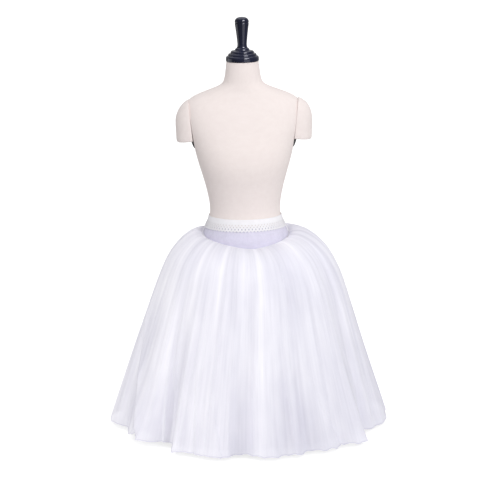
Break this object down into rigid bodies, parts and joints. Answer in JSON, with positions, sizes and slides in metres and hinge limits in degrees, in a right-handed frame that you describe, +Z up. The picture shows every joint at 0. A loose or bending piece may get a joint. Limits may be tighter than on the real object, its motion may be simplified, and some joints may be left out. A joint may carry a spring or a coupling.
{
  "type": "rehearsal skirt on a dress form",
  "caption": "Long gathered tulle practice skirt with an elastic waistband and a pointed mesh basque, worn by a padded limbless dress form on a low foot.",
  "frame": {"origin": "centre of the flat underside of the stand's foot", "axes": "+Z up through the pole, torso and neck cap; the wearer would face -Y, so +X is the wearer's left side"},
  "size_m": [0.8425, 0.8601, 1.2283],
  "materials": {
    "tulle": "sheer soft nylon net, matt",
    "basque_mesh": "sheer stretch mesh, slight sheen",
    "elastic": "soft knitted elastic with eyelets, matt",
    "jersey": "fine cotton jersey over padding, matt",
    "lacquered_wood": "black gloss lacquer",
    "black_plate": "black satin",
    "white_enamel": "white semi-gloss enamel"
  },
  "bodies": {
    "root": {"tulle_outer": "tulle", "tulle_middle": "tulle", "tulle_inner": "tulle", "basque_front": "basque_mesh", "basque_back": "basque_mesh", "waistband": "elastic", "form_torso": "jersey", "form_arm_cap_left": "jersey", "form_arm_cap_right": "jersey", "form_armhole_plate_left": "black_plate", "form_armhole_plate_right": "black_plate", "form_neck_cap": "lacquered_wood", "stand_foot": "white_enamel", "stand_pole": "white_enamel", "stand_socket": "white_enamel"}
  },
  "joints": []
}
